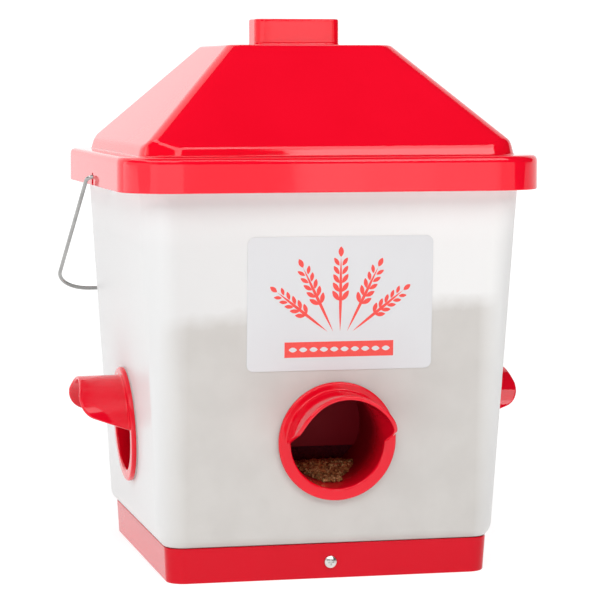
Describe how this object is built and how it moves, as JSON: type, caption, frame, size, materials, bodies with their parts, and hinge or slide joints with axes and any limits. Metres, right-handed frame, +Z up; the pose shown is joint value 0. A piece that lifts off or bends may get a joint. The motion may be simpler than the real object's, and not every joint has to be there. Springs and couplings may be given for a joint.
{
  "type": "poultry feeder",
  "caption": "Poultry feeder: tapered square translucent hopper on a red base tray, hooded feed ports on its sides, lift-off pyramid lid and a swinging wire handle.",
  "frame": {"origin": "centre of the base's underside", "axes": "+Z up, -Y out of the labelled front wall, +X to the right of a viewer facing the label"},
  "size_m": [0.3346, 0.3346, 0.4002],
  "materials": {
    "red_plastic": "gloss",
    "milky_plastic": "satin translucent",
    "steel": "zinc plated",
    "steel_wire": "zinc plated, drawn",
    "label_vinyl": "satin",
    "gasket_rubber": "matte silicone"
  },
  "bodies": {
    "feeder": {"hopper": "milky_plastic", "base_tray": "red_plastic", "feed_spreader": "red_plastic", "spreader_screw": "steel", "label": "label_vinyl", "port_front": "red_plastic", "port_gasket_front": "gasket_rubber", "port_nut_front": "red_plastic", "screw_front": "steel", "port_right": "red_plastic", "port_gasket_right": "gasket_rubber", "port_nut_right": "red_plastic", "port_back": "red_plastic", "port_gasket_back": "gasket_rubber", "port_nut_back": "red_plastic", "screw_back": "steel", "port_left": "red_plastic", "port_gasket_left": "gasket_rubber", "port_nut_left": "red_plastic"},
    "lid": {"lid": "red_plastic"},
    "bail": {"bail": "steel_wire"}
  },
  "joints": [
    {"name": "lid_lift", "type": "slide", "parent": "feeder", "child": "lid", "axis": [0, 0, 1], "range_m": [0, 0.15]},
    {"name": "bail_swing", "type": "hinge", "parent": "feeder", "child": "bail", "pos_m": [0, 0, 0.284], "axis": [1, 0, 0], "range_deg": [0, 248.5]}
  ]
}
